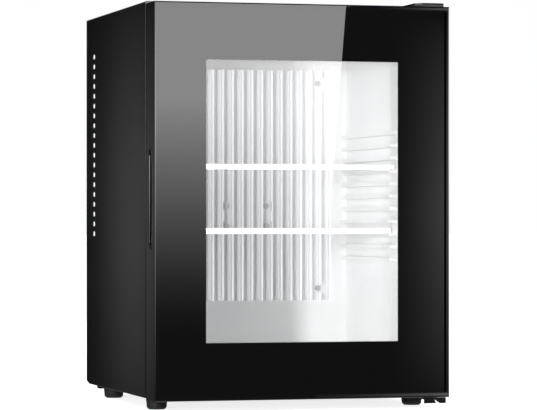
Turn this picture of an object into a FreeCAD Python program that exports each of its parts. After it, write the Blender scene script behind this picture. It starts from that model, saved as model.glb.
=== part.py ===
import FreeCAD, Part
import math
import os

V = FreeCAD.Vector

# Glass door minibar fridge. Millimetres, +Z up, front towards -Y.
# Origin: middle of the whole object's footprint, on the floor.

# Cabinet sizes
WIDTH = 402.0
CABINET_HEIGHT = 520.0
CABINET_DEPTH = 373.0
SHEET = 0.8
BEND_RADIUS = 2.0
FRONT_FLANGE = 36.0
REAR_FLANGE = 8.0
REAR_CUT_RUN = 19.0
REAR_CUT_RISE = 4.0

# Vent slots near the rear edge of both sides
SLOT_COUNT = 19
SLOT_PITCH = 13.9
SLOT_LENGTH = 14.0
SLOT_HEIGHT = 6.5
SLOT_END_SIDES = 3
SLOT_TOP_MARGIN = 55.7
SLOT_REAR_MARGIN = 51.0

# Air slots in the bottom under the rear bay
AIR_SLOT_COUNT = 8
AIR_SLOT_PITCH = 36.0
AIR_SLOT_LENGTH = 26.0
AIR_SLOT_WIDTH = 6.0
AIR_SLOT_SETBACK = 16.0

# Liner and the foam round it
SIDE_WALL = 53.0
TOP_WALL = 51.8
BOTTOM_WALL = 52.2
REAR_WALL = 55.0
REAR_BAY = 71.0
LINER_THICKNESS = 1.5
LINER_CORNER = 10.0

# Shelf ridges on both side walls of the liner
RIDGE_COUNT = 11
RIDGE_PITCH = 17.05
RIDGE_HEIGHT = 5.0
RIDGE_DEPTH = 8.0
TOP_RIDGE_DROP = 115.0
RIDGE_FRONT_SETBACK = 13.0
RIDGE_REAR_GAP = 4.0
RIDGE_TAPER = 8.0

# Shelves
UPPER_SHELF_RIDGE_INDEX = 3
LOWER_SHELF_RIDGE_INDEX = 8
UPPER_SHELF_SETBACK = 17.0
LOWER_SHELF_SETBACK = 32.0
SHELF_GLASS = 4.0
SHELF_SIDE_GAP = 2.0
SHELF_REAR_GAP = 1.0
SHELF_LIFT = 0.3
TRIM_DEPTH = 11.0
TRIM_WEB = 2.5
TRIM_OVER = 1.0
TRIM_UNDER = 2.2
TRIM_RIDGE_GAP = 0.8

# Ribbed cold plate on the liner's rear wall
PLATE_SIDE_MARGIN = 26.0
PLATE_TOP_MARGIN = 24.0
PLATE_BOTTOM_MARGIN = 68.0
PLATE_BASE = 3.0
RIB_HEIGHT = 10.0
RIB_THICKNESS = 2.5
RIB_PITCH = 14.2
PLATE_SCREW_MARGIN = 17.0
RIB_RELIEF = 13.0
CORE_SCREW_MARGIN = 11.0

# Cooling core through the rear wall
CORE_LEVEL = 239.2
COLD_BLOCK_WIDTH = 80.0
COLD_BLOCK_HEIGHT = 50.0
MODULE_SIZE = 40.0
MODULE_THICKNESS = 4.0
HOT_BLOCK_WIDTH = 90.0
HOT_BLOCK_HEIGHT = 66.0
HOT_BLOCK_DEPTH = 21.0
HOT_BLOCK_INSET = 2.0
HOT_BLOCK_CORNER = 3.0

# Heat pipes and their fins in the rear bay
PIPE_DIAMETER = 8.0
PIPE_SIDES = 12
PIPE_PITCH = 20.0
PIPE_OFFSET = 2.5
PIPE_END_INSET = 2.0
PIPE_BEND = 16.0
PIPE_TURN = 16.5
UPPER_PIPE_MARGIN = 115.8
RISER_GAP = 35.0
PIPE_OVERHANG = 15.0
FIN_COUNT = 18
FIN_SIDE_MARGIN = 46.0
FIN_THICKNESS = 0.6
FIN_DEPTH = 34.0
FIN_MARGIN = 34.0
BRACKET_THICKNESS = 1.5
BRACKET_FOOT = 16.0
BRACKET_GAP = 6.0

# Power supply in the rear bay
SUPPLY_WIDTH = 120.0
SUPPLY_HEIGHT = 110.0
SUPPLY_DEPTH = 46.0
SUPPLY_LEVEL = 22.0
SUPPLY_CORNER = 4.0
SUPPLY_SLITS = 7
SUPPLY_SLIT_PITCH = 12.0
SUPPLY_SLIT_WIDTH = 3.0
SUPPLY_SLIT_DEPTH = 3.0
SUPPLY_SLIT_RUN = 30.0
INLET_WIDTH = 30.0
INLET_HEIGHT = 22.0
INLET_DEPTH = 20.0
INLET_WALL = 2.5
INLET_PROUD = 2.0
INLET_OFFSET = 35.0
INLET_PIN_WIDTH = 2.0
INLET_PIN_HEIGHT = 4.0
INLET_PIN_SPACING = 7.0
INLET_PIN_DROP = 2.75
INLET_EARTH_RISE = 3.3

# Feet and the rail under the rear edge
FOOT_HEIGHT = 15.8
FOOT_TOP_DIAMETER = 29.0
FOOT_BOTTOM_DIAMETER = 26.0
FOOT_SIDES = 32
FOOT_ROUND = 2.5
FOOT_FRONT_SETBACK = 20.0
FOOT_REAR_MARGIN = 91.0
FOOT_SIDE_MARGIN = 20.0
HINGE_FOOT_MARGIN = 29.0
FOOT_STUD_DIAMETER = 6.0
FOOT_STUD_LENGTH = 10.0
RAIL_SIDE_MARGIN = 11.0
RAIL_WIDTH = 16.0
RAIL_HEIGHT = 6.3
RAIL_REAR_MARGIN = 18.0
RAIL_THICKNESS = 1.0

# Door sizes
DOOR_THICKNESS = 48.0
DOOR_GAP = 5.0
DOOR_DROP = 2.0
DOOR_TOP_STEP = 3.7
FRAME_LIP = 4.5
FRAME_ROUND = 2.0
GLASS_GROOVE = 3.0
GLASS_INSET = 0.4
DOOR_GLASS = 4.0
GLASS_CORNER = 2.0
WINDOW_SIDE_MARGIN = 70.0
WINDOW_TOP_MARGIN = 74.5
WINDOW_BOTTOM_MARGIN = 74.8
SPACER_DEPTH = 12.0
SPACER_WIDTH = 6.0
SPACER_OFFSET = 8.0
INNER_GLASS_OFFSET = 15.0
FRAME_OPENING_OFFSET = 18.0
TRIM_FRONT_OFFSET = 9.0
TRIM_REAR_OFFSET = 17.0
TRIM_FLANGE = 9.0
TRIM_FLANGE_THICKNESS = 2.0

# Finger recess in the door's left side
RECESS_HEIGHT = 134.0
RECESS_LEVEL = 196.2
RECESS_DEPTH = 16.0
RECESS_REAR_SETBACK = 35.0
RECESS_END_SETBACK = 18.0
RECESS_BOW_SETBACK = 9.0
RECESS_END_SLANT = 6.0

# Door gasket
GASKET_MARGIN = 17.0
GASKET_WIDTH = 22.0
GASKET_BASE = 1.4
GASKET_WAIST = 1.6
GASKET_WAIST_INSET = 5.0
GASKET_HEAD_INSET = 1.0
GASKET_GAP = 0.3

# Door hinge, both ends on one upright axis
HINGE_SIDE_MARGIN = 14.0
HINGE_SETBACK = 25.0
HINGE_PIN_DIAMETER = 6.0
HINGE_PIN_REACH = 16.0
HINGE_CLEARANCE = 0.05
BUSH_WALL = 2.5
BUSH_COLLAR = 1.5
BUSH_COLLAR_DEPTH = 1.25
BUSH_GAP = 0.3
BUSH_SIDES = 16
TOP_PLATE_THICKNESS = 2.0
TOP_PLATE_WIDTH = 39.4
TOP_PLATE_SIDE_MARGIN = 1.6
TOP_PLATE_FRONT = 15.0
TOP_PLATE_SOLE = 36.0
TOP_PLATE_BEVEL = 8.0
TOP_PLATE_CORNER = 4.0
BRACKET_PLATE = 2.5
BRACKET_WIDTH = 43.0
BRACKET_SIDE_MARGIN = 1.0
BRACKET_LENGTH = 46.0
BRACKET_TONGUE_WIDTH = 30.0
BRACKET_FRONT = 12.0
BRACKET_LIP = 5.0
BRACKET_NOTCH = 6.0
BRACKET_NOTCH_MARGIN = 10.0
TONGUE_GAP = 1.0
HINGE_SCREW_DIAMETER = 5.0
HINGE_SCREW_HEAD = 9.0
HINGE_SCREW_LENGTH = 12.0
HINGE_SCREW_MARGIN = 9.0

# Interior light and thermostat on the liner's ceiling
LIGHT_WIDTH = 110.0
LIGHT_HEIGHT = 16.0
LIGHT_DEPTH = 60.0
LIGHT_SETBACK = 37.0
LIGHT_CORNER = 3.0
LENS_WIDTH = 60.0
LENS_DEPTH = 30.0
LENS_THICKNESS = 2.0
DIAL_DIAMETER = 13.0
DIAL_THICKNESS = 5.0
DIAL_OFFSET = 35.0
DIAL_GAP = 0.3
DIAL_SHAFT = 4.0
DIAL_SHAFT_LENGTH = 6.0
DIAL_SHAFT_CLEARANCE = 0.05
DIAL_SLOT = 1.6
DIAL_SLOT_DEPTH = 1.5

# Small screws
PLATE_SCREW_DIAMETER = 4.0
PLATE_SCREW_HEAD = 8.0
PLATE_SCREW_HEAD_HEIGHT = 2.8
PLATE_SCREW_LENGTH = 12.0
SCREW_HEAD_SIDES = 12
SCREW_SHANK_SIDES = 8

# How far a cutter passes the faces that it opens
OVERCUT = 1.0

# Places that follow from the sizes
half = WIDTH / 2
total_depth = DOOR_THICKNESS + DOOR_GAP + CABINET_DEPTH
door_front = -total_depth / 2
door_back = door_front + DOOR_THICKNESS
cabinet_front = door_back + DOOR_GAP
cabinet_back = cabinet_front + CABINET_DEPTH
cabinet_bottom = FOOT_HEIGHT
cabinet_top = cabinet_bottom + CABINET_HEIGHT
door_bottom = cabinet_bottom - DOOR_DROP
door_top = cabinet_top - DOOR_TOP_STEP

liner_half = half - SIDE_WALL
liner_bottom = cabinet_bottom + BOTTOM_WALL
liner_top = cabinet_top - TOP_WALL
bay_front = cabinet_back - REAR_BAY
liner_back = bay_front - REAR_WALL
panel_back = bay_front + SHEET

plate_front = liner_back - PLATE_BASE - RIB_HEIGHT
plate_half = liner_half - PLATE_SIDE_MARGIN
plate_bottom = liner_bottom + PLATE_BOTTOM_MARGIN
plate_top = liner_top - PLATE_TOP_MARGIN
core_z = cabinet_bottom + CORE_LEVEL
hot_front = bay_front - HOT_BLOCK_INSET
hot_back = hot_front + HOT_BLOCK_DEPTH
pipe_y = (panel_back + hot_back) / 2
fin_y = pipe_y + 2 * PIPE_TURN
fin_half = half - FIN_SIDE_MARGIN
pipe_reach = fin_half + PIPE_OVERHANG
riser_x = -HOT_BLOCK_WIDTH / 2 - RISER_GAP

window_half = half - WINDOW_SIDE_MARGIN
window_bottom = door_bottom + WINDOW_BOTTOM_MARGIN
window_top = door_top - WINDOW_TOP_MARGIN
glass_front = door_front + GLASS_INSET
glass_back = glass_front + DOOR_GLASS
spacer_back = glass_back + SPACER_DEPTH
inner_glass_back = spacer_back + DOOR_GLASS

hinge_x = half - HINGE_SIDE_MARGIN
hinge_y = door_front + HINGE_SETBACK
pin_radius = HINGE_PIN_DIAMETER / 2
bush_radius = pin_radius + HINGE_CLEARANCE + BUSH_WALL
collar_radius = bush_radius + BUSH_COLLAR
tongue_top = door_bottom - TONGUE_GAP
bracket_top = cabinet_bottom
bracket_bottom = bracket_top - BRACKET_PLATE

supply_bottom = cabinet_bottom + SUPPLY_LEVEL
shelf_length = plate_front - SHELF_REAR_GAP - cabinet_front - LOWER_SHELF_SETBACK
light_y = cabinet_front + LIGHT_SETBACK
dial_z = liner_top - LIGHT_HEIGHT / 2


def box(x0, x1, y0, y1, z0, z1):
    """Block between two corners."""
    return Part.makeBox(x1 - x0, y1 - y0, z1 - z0, V(x0, y0, z0))


def rod(radius, length, start, axis):
    """Round bar from a start point along an axis."""
    return Part.makeCylinder(radius, length, start, axis)


def round_along(shape, radius, axis):
    """Round a block's edges that run along one axis."""
    edges = []
    for edge in shape.Edges:
        run = edge.Vertexes[-1].Point - edge.Vertexes[0].Point
        if abs(abs(run.normalize().dot(axis)) - 1) < 1e-6:
            edges.append(edge)
    return shape.makeFillet(radius, edges)


def panel(half_width, z0, z1, y0, y1, corner=0.0):
    """Upright plate, centred in X, with rounded corners in front view."""
    plate = box(-half_width, half_width, y0, y1, z0, z1)
    return round_along(plate, corner, V(0, 1, 0)) if corner else plate


def window_plate(offset, y0, y1, corner=0.0):
    """Upright plate as large as the window plus an offset all round."""
    return panel(window_half + offset, window_bottom - offset, window_top + offset, y0, y1, corner)


def window_outline(offset, y):
    """Closed outline of the window plus an offset, at one depth."""
    x = window_half + offset
    z0, z1 = window_bottom - offset, window_top + offset
    return Part.makePolygon([V(-x, y, z0), V(x, y, z0), V(x, y, z1), V(-x, y, z1), V(-x, y, z0)])


def prism(points, along):
    """Closed polygon pushed along a vector."""
    return Part.Face(Part.makePolygon(points + [points[0]])).extrude(along)


def slot_cutter(centre, length, height, along, depth):
    """Slot cutter with rounded ends of a few flats: along is its length's axis, depth its cutting vector."""
    across = along.cross(depth).normalize()
    radius = height / 2
    points = []
    for end in (1, -1):
        for i in range(SLOT_END_SIDES + 1):
            turn = math.pi * (i / SLOT_END_SIDES - 0.5)
            reach = length / 2 - radius + radius * math.cos(turn)
            shift = along * (end * reach) + across * (end * radius * math.sin(turn))
            points.append(centre - depth * 0.5 + shift)
    return prism(points, depth)


def pipe_hole(y, z, x0, x1):
    """Eight-sided hole that grips a heat pipe on its flats."""
    reach = PIPE_DIAMETER / 2 / math.cos(math.pi / 8)
    turns = [(i + 0.5) * math.pi / 4 for i in range(8)]
    points = [V(x0, y + reach * math.cos(a), z + reach * math.sin(a)) for a in turns]
    return prism(points, V(x1 - x0, 0, 0))


def facet_ring(radius, centre, axis, sides):
    """Corners of a many-sided ring round an axis, on the radius."""
    u = V(0, 0, 1) if abs(axis.z) < 0.5 else V(1, 0, 0)
    v = axis.cross(u)
    turns = [2 * math.pi * i / sides for i in range(sides)]
    return [centre + u * (radius * math.cos(a)) + v * (radius * math.sin(a)) for a in turns]


def facet_rod(radius, length, start, axis, sides):
    """Many-sided bar from a start point along an axis."""
    return prism(facet_ring(radius, start, axis, sides), axis * length)


def facet_cone(radius, end_radius, length, start, axis, sides):
    """Many-sided taper from a start point along an axis."""
    low = facet_ring(radius, start, axis, sides)
    high = facet_ring(end_radius, start + axis * length, axis, sides)
    faces = [Part.Face(Part.makePolygon([low[i - 1], low[i], high[i], high[i - 1], low[i - 1]]))
             for i in range(sides)]
    faces += [Part.Face(Part.makePolygon(ring + [ring[0]])) for ring in (low, high)]
    solid = Part.makeSolid(Part.makeShell(faces))
    return solid if solid.Volume > 0 else solid.reversed()


def pan_screw(seat, axis, diameter, head, head_height, length):
    """Screw with a raised head outside its seat and a shank along the axis."""
    shank = facet_rod(diameter / 2, length, seat, axis, SCREW_SHANK_SIDES)
    cap = facet_rod(head / 2, head_height, seat - axis * head_height, axis, SCREW_HEAD_SIDES)
    return shank.fuse(cap).removeSplitter()


def flush_screw(top, axis, diameter, head, length):
    """Countersunk screw whose head is flush with its top point."""
    sink = (head - diameter) / 2
    cone = facet_cone(head / 2, diameter / 2, sink, top, axis, SCREW_SHANK_SIDES)
    shank = facet_rod(diameter / 2, length - sink, top + axis * sink, axis, SCREW_SHANK_SIDES)
    return cone.fuse(shank).removeSplitter()


def wrap_inside():
    """Space inside the steel wrap, from front to back."""
    block = box(-half + SHEET, half - SHEET, cabinet_front, cabinet_back,
                cabinet_bottom, cabinet_top - SHEET)
    top_edges = []
    for edge in block.Edges:
        low = min(v.Z for v in edge.Vertexes)
        run = edge.Vertexes[-1].Point - edge.Vertexes[0].Point
        if low > cabinet_top - 2 * SHEET and abs(run.y) > 1:
            top_edges.append(edge)
    return block.makeFillet(BEND_RADIUS - SHEET, top_edges)


def side_slots():
    """Cutters for the vent slots of both sides."""
    y = cabinet_back - SLOT_REAR_MARGIN
    through = V(WIDTH + 2 * OVERCUT, 0, 0)
    cutters = []
    for i in range(SLOT_COUNT):
        z = cabinet_top - SLOT_TOP_MARGIN - i * SLOT_PITCH
        cutters.append(slot_cutter(V(0, y, z), SLOT_LENGTH, SLOT_HEIGHT, V(0, 1, 0), through))
    return Part.makeCompound(cutters)


def rear_corner_cut():
    """Wedge that takes the rear bottom corner off both sides."""
    reach = half + OVERCUT
    points = [V(-reach, cabinet_back - REAR_CUT_RUN, cabinet_bottom),
              V(-reach, cabinet_back, cabinet_bottom + REAR_CUT_RISE),
              V(-reach, cabinet_back + OVERCUT, cabinet_bottom - OVERCUT)]
    return prism(points, V(2 * reach, 0, 0))


def cabinet_shell():
    """Folded wrap: top and sides, with edges turned in at the front and rear."""
    block = box(-half, half, cabinet_front, cabinet_back, cabinet_bottom, cabinet_top)
    top_edges = []
    for edge in block.Edges:
        low = min(v.Z for v in edge.Vertexes)
        run = edge.Vertexes[-1].Point - edge.Vertexes[0].Point
        if low > cabinet_top - SHEET and abs(run.y) > 1:
            top_edges.append(edge)
    block = block.makeFillet(BEND_RADIUS, top_edges)
    inside = wrap_inside().common(box(-half, half, cabinet_front + SHEET, cabinet_back - SHEET,
                                      cabinet_bottom, cabinet_top))
    front = box(-half + FRONT_FLANGE, half - FRONT_FLANGE, cabinet_front - OVERCUT, cabinet_front + 2 * SHEET,
                cabinet_bottom, cabinet_top - FRONT_FLANGE)
    rear = box(-half + REAR_FLANGE, half - REAR_FLANGE, cabinet_back - 2 * SHEET, cabinet_back + OVERCUT,
               cabinet_bottom, cabinet_top - REAR_FLANGE)
    shell = block.cut(inside).cut(front).cut(rear)
    return shell.cut(rear_corner_cut()).cut(side_slots())


def base_pan():
    """Bottom sheet with an upstand behind the door and air slots under the rear bay."""
    floor = box(-half + SHEET, half - SHEET, cabinet_front + SHEET, cabinet_back - REAR_CUT_RUN,
                cabinet_bottom, cabinet_bottom + SHEET)
    upstand = box(-half + FRONT_FLANGE, half - FRONT_FLANGE, cabinet_front, cabinet_front + SHEET,
                  cabinet_bottom, cabinet_bottom + FRONT_FLANGE)
    lip = box(-half + SHEET, half - SHEET, cabinet_back - REAR_CUT_RUN - SHEET,
              cabinet_back - REAR_CUT_RUN, cabinet_bottom, cabinet_bottom + REAR_FLANGE)
    pan = floor.fuse(upstand).fuse(lip).removeSplitter()
    y = bay_front + AIR_SLOT_SETBACK
    first = -(AIR_SLOT_COUNT - 1) / 2 * AIR_SLOT_PITCH
    for i in range(AIR_SLOT_COUNT):
        x = first + i * AIR_SLOT_PITCH
        pan = pan.cut(box(x - AIR_SLOT_LENGTH / 2, x + AIR_SLOT_LENGTH / 2, y - AIR_SLOT_WIDTH / 2,
                          y + AIR_SLOT_WIDTH / 2, cabinet_bottom - OVERCUT, cabinet_bottom + 2 * SHEET))
    return pan


def liner_space(grow=0.0):
    """Space inside the liner, or its outer envelope when grown by the wall."""
    return panel(liner_half + grow, liner_bottom - grow, liner_top + grow,
                 cabinet_front, liner_back + grow, LINER_CORNER + grow)


def liner_lip():
    """Flat lip round the liner's mouth, level with the front edges of the cabinet."""
    return box(-half + FRONT_FLANGE, half - FRONT_FLANGE, cabinet_front, cabinet_front + LINER_THICKNESS,
               cabinet_bottom + FRONT_FLANGE, cabinet_top - FRONT_FLANGE)


def ridge_level(index):
    """Height of the top face of one ridge, counted from the top."""
    return liner_top - TOP_RIDGE_DROP - index * RIDGE_PITCH


def ridge(side, index):
    """One shelf ridge: it stands out of the side wall and tapers off at its front end."""
    top = ridge_level(index)
    y0 = cabinet_front + RIDGE_FRONT_SETBACK
    y1 = liner_back - RIDGE_REAR_GAP
    wall = side * (liner_half + LINER_THICKNESS / 2)
    tip = side * (liner_half - RIDGE_DEPTH)
    points = [V(wall, y0, top), V(side * liner_half, y0, top), V(tip, y0 + RIDGE_TAPER, top),
              V(tip, y1, top), V(wall, y1, top)]
    return prism(points, V(0, 0, -RIDGE_HEIGHT))


def inner_liner(core, screws):
    """Moulded liner with its lip, its shelf ridges and the openings in its rear wall."""
    liner = liner_space(LINER_THICKNESS).fuse(liner_lip()).cut(liner_space())
    ridges = [ridge(side, i) for side in (-1, 1) for i in range(RIDGE_COUNT)]
    return liner.fuse(ridges).removeSplitter().cut(core).cut(screws)


def insulation_foam(inserts):
    """Foam between the wrap, the base, the liner and the back panel."""
    slab = box(-half, half, cabinet_front + SHEET, bay_front, cabinet_bottom + SHEET, cabinet_top)
    foam = wrap_inside().common(slab).cut(liner_space(LINER_THICKNESS)).cut(liner_lip())
    return foam.cut(inserts)


def back_panel(core):
    """Sheet that closes the foam towards the rear bay."""
    slab = box(-half, half, bay_front, panel_back, cabinet_bottom + SHEET, cabinet_top)
    return wrap_inside().common(slab).cut(core)


def plate_screw_places():
    """X and Z of the cold plate's corner screws and core screws."""
    x = plate_half - PLATE_SCREW_MARGIN
    corners = [(sx * x, z) for sx in (-1, 1)
               for z in (plate_bottom + PLATE_SCREW_MARGIN, plate_top - PLATE_SCREW_MARGIN)]
    w, h = COLD_BLOCK_WIDTH / 2 - CORE_SCREW_MARGIN, COLD_BLOCK_HEIGHT / 2 - CORE_SCREW_MARGIN
    core = [(sx * w, core_z + sz * h) for sx in (-1, 1) for sz in (-1, 1)]
    return corners + core


def cold_plate():
    """Extruded plate with upright ribs, milled flat round its screws."""
    base_front = liner_back - PLATE_BASE
    plate = box(-plate_half, plate_half, base_front, liner_back, plate_bottom, plate_top)
    pairs = int((plate_half - RIB_THICKNESS / 2) / RIB_PITCH + 0.5)
    ribs = []
    for i in range(-pairs, pairs):
        x = (i + 0.5) * RIB_PITCH
        ribs.append(box(x - RIB_THICKNESS / 2, x + RIB_THICKNESS / 2, plate_front, base_front,
                        plate_bottom, plate_top))
    plate = plate.fuse(ribs).removeSplitter()
    for x, z in plate_screw_places():
        r = RIB_RELIEF / 2
        plate = plate.cut(box(x - r, x + r, plate_front - OVERCUT, base_front, z - r, z + r))
    return plate.cut(cold_plate_screws())


def cold_plate_screws():
    """Pan head screws of the cold plate."""
    seat = liner_back - PLATE_BASE
    return Part.makeCompound([
        pan_screw(V(x, seat, z), V(0, 1, 0), PLATE_SCREW_DIAMETER, PLATE_SCREW_HEAD,
                  PLATE_SCREW_HEAD_HEIGHT, PLATE_SCREW_LENGTH)
        for x, z in plate_screw_places()])


def cold_block():
    """Block that carries heat from the cold plate to the cooling module."""
    w, h = COLD_BLOCK_WIDTH / 2, COLD_BLOCK_HEIGHT / 2
    return box(-w, w, liner_back, hot_front - MODULE_THICKNESS, core_z - h, core_z + h)


def cooling_module():
    """Flat square module between the cold and the hot block."""
    s = MODULE_SIZE / 2
    return box(-s, s, hot_front - MODULE_THICKNESS, hot_front, core_z - s, core_z + s)


def hot_block():
    """Block on the warm side, bored for the heat pipes."""
    w, h = HOT_BLOCK_WIDTH / 2, HOT_BLOCK_HEIGHT / 2
    block = box(-w, w, hot_front, hot_back, core_z - h, core_z + h)
    return round_along(block, HOT_BLOCK_CORNER, V(0, 1, 0))


def pipe_level(raised):
    """Height at which a heat pipe passes through the fins; the lower one runs there straight."""
    return cabinet_top - UPPER_PIPE_MARGIN if raised else core_z + PIPE_OFFSET


def pipe_run(start, end):
    """Straight stretch of heat pipe between two points."""
    run = end - start
    return facet_rod(PIPE_DIAMETER / 2, run.Length, start, run.normalize(), PIPE_SIDES)


def pipe_bend(start, centre, axis, angle):
    """Bent stretch of heat pipe: its section at the start, turned about an axis."""
    along = axis.cross(start - centre).normalize()
    ring = facet_ring(PIPE_DIAMETER / 2, start, along, PIPE_SIDES)
    return Part.Face(Part.makePolygon(ring + [ring[0]])).revolve(centre, axis, angle)


def riser(here, z):
    """Pipe that turns up out of its run along X and back into it at another height."""
    r = PIPE_BEND
    up, out = V(riser_x, here.y, here.z + r), V(riser_x, here.y, z - r)
    return [pipe_run(here, V(riser_x + r, here.y, here.z)),
            pipe_bend(V(riser_x + r, here.y, here.z), V(riser_x + r, here.y, here.z + r), V(0, 1, 0), 90),
            pipe_run(up, out), pipe_bend(out, V(riser_x - r, here.y, z - r), V(0, -1, 0), 90)]


def heat_pipe(raised):
    """Pipe from the hot block to the left side, round a turn and back through the fins."""
    z = pipe_level(raised)
    start_z = core_z + PIPE_OFFSET + (PIPE_PITCH if raised else 0)
    here = V(HOT_BLOCK_WIDTH / 2 - PIPE_END_INSET, pipe_y, start_z)
    pieces = []
    if raised:
        pieces = riser(here, z)
        here = V(riser_x - PIPE_BEND, pipe_y, z)
    turn_start = V(-pipe_reach, pipe_y, z)
    pieces.append(pipe_run(here, turn_start))
    pieces.append(pipe_bend(turn_start, V(-pipe_reach, pipe_y + PIPE_TURN, z), V(0, 0, -1), 180))
    pieces.append(pipe_run(V(-pipe_reach, fin_y, z), V(pipe_reach, fin_y, z)))
    return pieces[0].fuse(pieces[1:]).removeSplitter()


def heat_pipes():
    """The two heat pipes."""
    return Part.makeCompound([heat_pipe(False), heat_pipe(True)])


def radiator_span():
    """Lowest and highest point of the fins."""
    return pipe_level(False) - FIN_MARGIN, pipe_level(True) + FIN_MARGIN


def radiator_fins():
    """Upright fins threaded on the heat pipes."""
    z0, z1 = radiator_span()
    step = (2 * fin_half - FIN_THICKNESS) / (FIN_COUNT - 1)
    fins = []
    for i in range(FIN_COUNT):
        x = i * step - fin_half
        fin = box(x, x + FIN_THICKNESS, fin_y - FIN_DEPTH / 2, fin_y + FIN_DEPTH / 2, z0, z1)
        for raised in (False, True):
            fin = fin.cut(pipe_hole(fin_y, pipe_level(raised), x - OVERCUT, x + OVERCUT + FIN_THICKNESS))
        fins.append(fin)
    return Part.makeCompound(fins)


def radiator_bracket(side):
    """Bent sheet that holds the heat pipes off the back panel at one end of the fins."""
    z0, z1 = radiator_span()
    web = fin_half + BRACKET_GAP
    x = sorted((side * web, side * (web - BRACKET_THICKNESS)))
    foot_x = sorted((side * web, side * (web - BRACKET_FOOT)))
    upright = box(x[0], x[1], panel_back, fin_y + FIN_DEPTH / 2, z0, z1)
    sole = box(foot_x[0], foot_x[1], panel_back, panel_back + BRACKET_THICKNESS, z0, z1)
    bracket = upright.fuse(sole).removeSplitter()
    rows = (pipe_y, fin_y) if side < 0 else (fin_y,)
    for y in rows:
        for raised in (False, True):
            bracket = bracket.cut(pipe_hole(y, pipe_level(raised), x[0] - OVERCUT, x[1] + OVERCUT))
    return bracket


def radiator_brackets():
    """Both radiator brackets."""
    return Part.makeCompound([radiator_bracket(-1), radiator_bracket(1)])


def inlet_place():
    """Middle of the power inlet on the rear face of the supply."""
    return V(INLET_OFFSET, panel_back + SUPPLY_DEPTH, supply_bottom + SUPPLY_HEIGHT / 2)


def power_inlet():
    """Recessed inlet with three flat pins and no cord."""
    c = inlet_place()
    w, h = INLET_WIDTH / 2, INLET_HEIGHT / 2
    y0, y1 = c.y - INLET_DEPTH, c.y + INLET_PROUD
    body = round_along(box(c.x - w, c.x + w, y0, y1, c.z - h, c.z + h), INLET_WALL, V(0, 1, 0))
    t = INLET_WALL
    hollow = box(c.x - w + t, c.x + w - t, y0 + t, y1 + OVERCUT, c.z - h + t, c.z + h - t)
    body = body.cut(hollow)
    pins = [(-INLET_PIN_SPACING, -INLET_PIN_DROP), (0, INLET_EARTH_RISE),
            (INLET_PIN_SPACING, -INLET_PIN_DROP)]
    for dx, dz in pins:
        x, z = c.x + dx, c.z + dz
        body = body.fuse(box(x - INLET_PIN_WIDTH / 2, x + INLET_PIN_WIDTH / 2, y0 + t / 2, c.y - t,
                             z - INLET_PIN_HEIGHT / 2, z + INLET_PIN_HEIGHT / 2))
    return body.removeSplitter()


def power_supply():
    """Supply housing on the back panel, with air slits on top and the inlet's cut-out."""
    w = SUPPLY_WIDTH / 2
    housing = box(-w, w, panel_back, panel_back + SUPPLY_DEPTH, supply_bottom, supply_bottom + SUPPLY_HEIGHT)
    housing = round_along(housing, SUPPLY_CORNER, V(0, 1, 0))
    slits = []
    for i in range(SUPPLY_SLITS):
        x = (i - (SUPPLY_SLITS - 1) / 2) * SUPPLY_SLIT_PITCH
        slits.append(box(x - SUPPLY_SLIT_WIDTH / 2, x + SUPPLY_SLIT_WIDTH / 2,
                         panel_back + SUPPLY_DEPTH - SUPPLY_SLIT_DEPTH, panel_back + SUPPLY_DEPTH + OVERCUT,
                         supply_bottom + SUPPLY_HEIGHT - SUPPLY_SLIT_RUN,
                         supply_bottom + SUPPLY_HEIGHT + OVERCUT))
    c = inlet_place()
    iw, ih = INLET_WIDTH / 2, INLET_HEIGHT / 2
    pocket = box(c.x - iw, c.x + iw, c.y - INLET_DEPTH, c.y + INLET_PROUD, c.z - ih, c.z + ih)
    return housing.cut(slits).cut(round_along(pocket, INLET_WALL, V(0, 1, 0)))


def foot_places():
    """Name, X, Y and height of each foot; the one by the hinge stands under its bracket."""
    front = cabinet_front + FOOT_FRONT_SETBACK
    rear = cabinet_back - FOOT_REAR_MARGIN
    side = half - FOOT_SIDE_MARGIN
    return [("foot_front_left", -side, front, cabinet_bottom),
            ("foot_front_right", half - HINGE_FOOT_MARGIN, front, bracket_bottom),
            ("foot_rear_left", -side, rear, cabinet_bottom),
            ("foot_rear_right", side, rear, cabinet_bottom)]


def foot_stud(x, y, height):
    """Stud that holds a foot in the bottom of the cabinet."""
    return facet_rod(FOOT_STUD_DIAMETER / 2, FOOT_STUD_LENGTH, V(x, y, height), V(0, 0, 1), SCREW_SHANK_SIDES)


def foot_studs():
    """All four studs, which are also the cutters of their holes."""
    return Part.makeCompound([foot_stud(x, y, height) for name, x, y, height in foot_places()])


def foot(x, y, height):
    """Tapered round foot with a bevelled sole and its stud."""
    low = FOOT_BOTTOM_DIAMETER / 2
    up = V(0, 0, 1)
    body = facet_cone(low - FOOT_ROUND, low, FOOT_ROUND, V(x, y, 0), up, FOOT_SIDES)
    body = body.fuse(facet_cone(low, FOOT_TOP_DIAMETER / 2, height - FOOT_ROUND, V(x, y, FOOT_ROUND), up,
                                FOOT_SIDES))
    return body.fuse(foot_stud(x, y, height)).removeSplitter()


def rear_rail():
    """Folded channel across the cabinet under its rear edge."""
    x = half - RAIL_SIDE_MARGIN
    y1 = cabinet_back - REAR_CUT_RUN - RAIL_REAR_MARGIN + RAIL_WIDTH
    y0 = y1 - RAIL_WIDTH
    z0 = cabinet_bottom - RAIL_HEIGHT
    t = RAIL_THICKNESS
    rail = box(-x, x, y0, y1, z0, cabinet_bottom)
    return rail.cut(box(-x + t, x - t, y0 + t, y1 - t, z0 + t, cabinet_bottom))


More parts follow.
